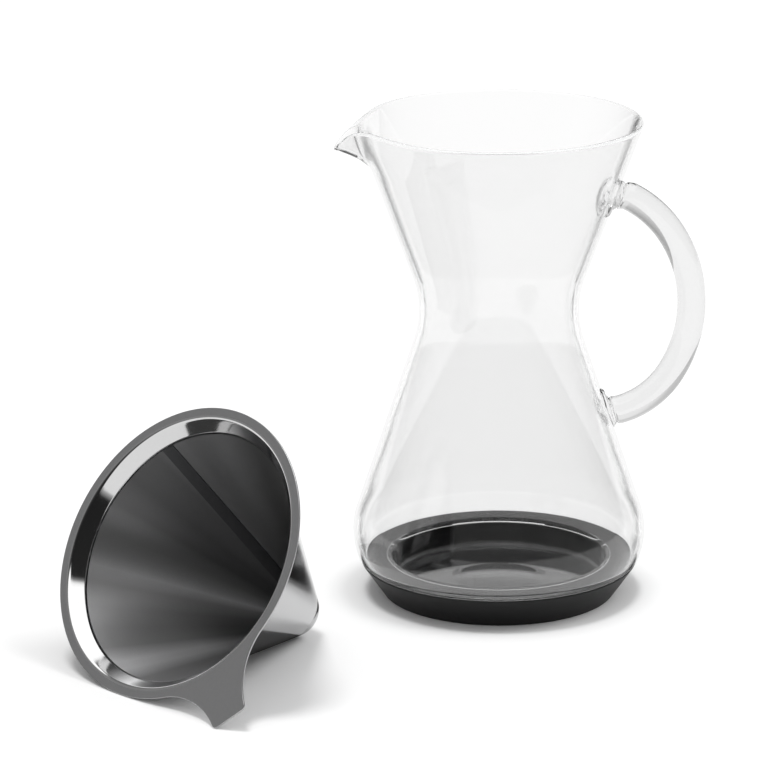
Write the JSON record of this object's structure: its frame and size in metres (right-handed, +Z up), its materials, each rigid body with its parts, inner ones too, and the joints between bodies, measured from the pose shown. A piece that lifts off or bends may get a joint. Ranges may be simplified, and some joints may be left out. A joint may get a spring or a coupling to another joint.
{
  "type": "coffee server carafe",
  "caption": "Waisted glass coffee carafe with a glass rod handle and a soft black foot boot, with its steel cone filter lying beside it.",
  "frame": {"origin": "centre of the boot's underside, on the table", "axes": "+Z up along the carafe's axis, +X towards the handle, -X towards the pouring beak, the filter lying at -X -Y"},
  "size_m": [0.2882, 0.223, 0.2115],
  "materials": {
    "boot": "matt black silicone with a soft sheen",
    "vessel_glass": "clear blown glass, smooth",
    "rod_glass": "clear solid glass rod, smooth",
    "rim_steel": "satin flange and tab with a polished collar",
    "cone_steel": "matt etched sheet with very fine holes",
    "seam_steel": "dull welded lap",
    "cap_steel": "satin pressed sheet"
  },
  "bodies": {
    "base": {"silicone_boot": "boot"},
    "carafe": {"glass_vessel": "vessel_glass", "glass_handle": "rod_glass", "upper_handle_weld": "rod_glass", "lower_handle_weld": "rod_glass"},
    "filter": {"filter_rim": "rim_steel", "filter_cone": "cone_steel", "filter_seam": "seam_steel", "filter_tip_cap": "cap_steel"}
  },
  "joints": [
    {"name": "carafe_lift", "type": "slide", "parent": "base", "child": "carafe", "axis": [0, 0, 1], "range_m": [0, 0.06]},
    {"name": "filter_lift", "type": "slide", "parent": "base", "child": "filter", "axis": [0, 0, 1], "range_m": [0, 0.25]}
  ]
}
